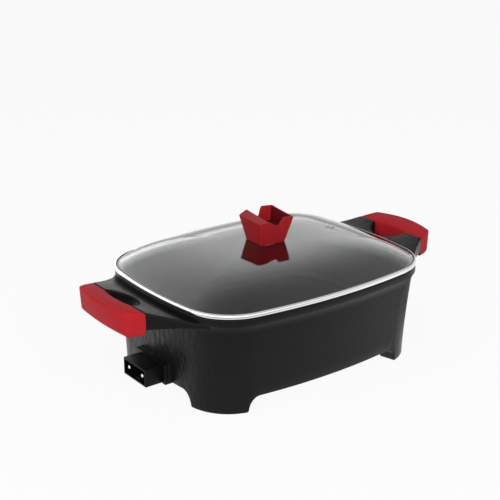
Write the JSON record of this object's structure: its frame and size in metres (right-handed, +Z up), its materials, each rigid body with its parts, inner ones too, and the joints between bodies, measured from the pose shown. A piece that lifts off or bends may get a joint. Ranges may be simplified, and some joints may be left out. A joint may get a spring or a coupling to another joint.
{
  "type": "electric cooking pot",
  "caption": "Rectangular electric cooking pot: black cast pan on corner legs, red end grips, power inlet on one end and a lift-off domed glass lid with a red knob.",
  "frame": {"origin": "on the table, under the centre of the pot", "axes": "+X along the pot, away from the power inlet; +Z up"},
  "size_m": [0.5256, 0.2996, 0.2048],
  "materials": {
    "black_casting": "black non-stick coating, semi-gloss, finely hammered",
    "foot_rubber": "matt",
    "red_grip": "red moulded, satin",
    "red_knob": "red moulded, satin",
    "black_inlet": "black moulded, satin",
    "pin_steel": "nickel plated",
    "ceramic": "unglazed ceramic",
    "earth_brass": "plain",
    "screw_steel": "zinc plated",
    "heater_sheath": "oxidised tube",
    "cutout_body": "black moulded with steel blades",
    "sheet_steel": "plain sheet",
    "cover_sheet": "plain sheet",
    "lid_glass": "clear tempered",
    "lid_band": "polished stainless steel",
    "vent_steel": "polished stainless steel",
    "silicone": "black silicone",
    "insert_brass": "knurled and moulded in"
  },
  "bodies": {
    "base": {"pot_casting": "black_casting", "foot_pads": "foot_rubber", "handle_grip_left": "red_grip", "handle_grip_right": "red_grip", "handle_screws": "screw_steel", "inlet_housing": "black_inlet", "inlet_screws": "screw_steel", "terminal_pin_front": "pin_steel", "terminal_pin_rear": "pin_steel", "pin_insulators": "ceramic", "earth_contact": "earth_brass", "earth_screw": "screw_steel", "heating_element": "heater_sheath", "thermal_cutout": "cutout_body", "cutout_strap": "sheet_steel", "element_clips": "sheet_steel", "clip_screws": "screw_steel", "bottom_cover": "cover_sheet", "cover_screws": "screw_steel"},
    "lid": {"lid_glass": "lid_glass", "lid_rim_band": "lid_band", "steam_vent_eyelet": "vent_steel", "lid_knob": "red_knob", "knob_insert": "insert_brass", "knob_screw": "screw_steel", "knob_washer": "sheet_steel", "knob_seal_upper": "silicone", "knob_seal_lower": "silicone"}
  },
  "joints": [
    {"name": "lid_lift", "type": "slide", "parent": "base", "child": "lid", "axis": [0, 0, 1], "range_m": [0, 0.15]}
  ]
}
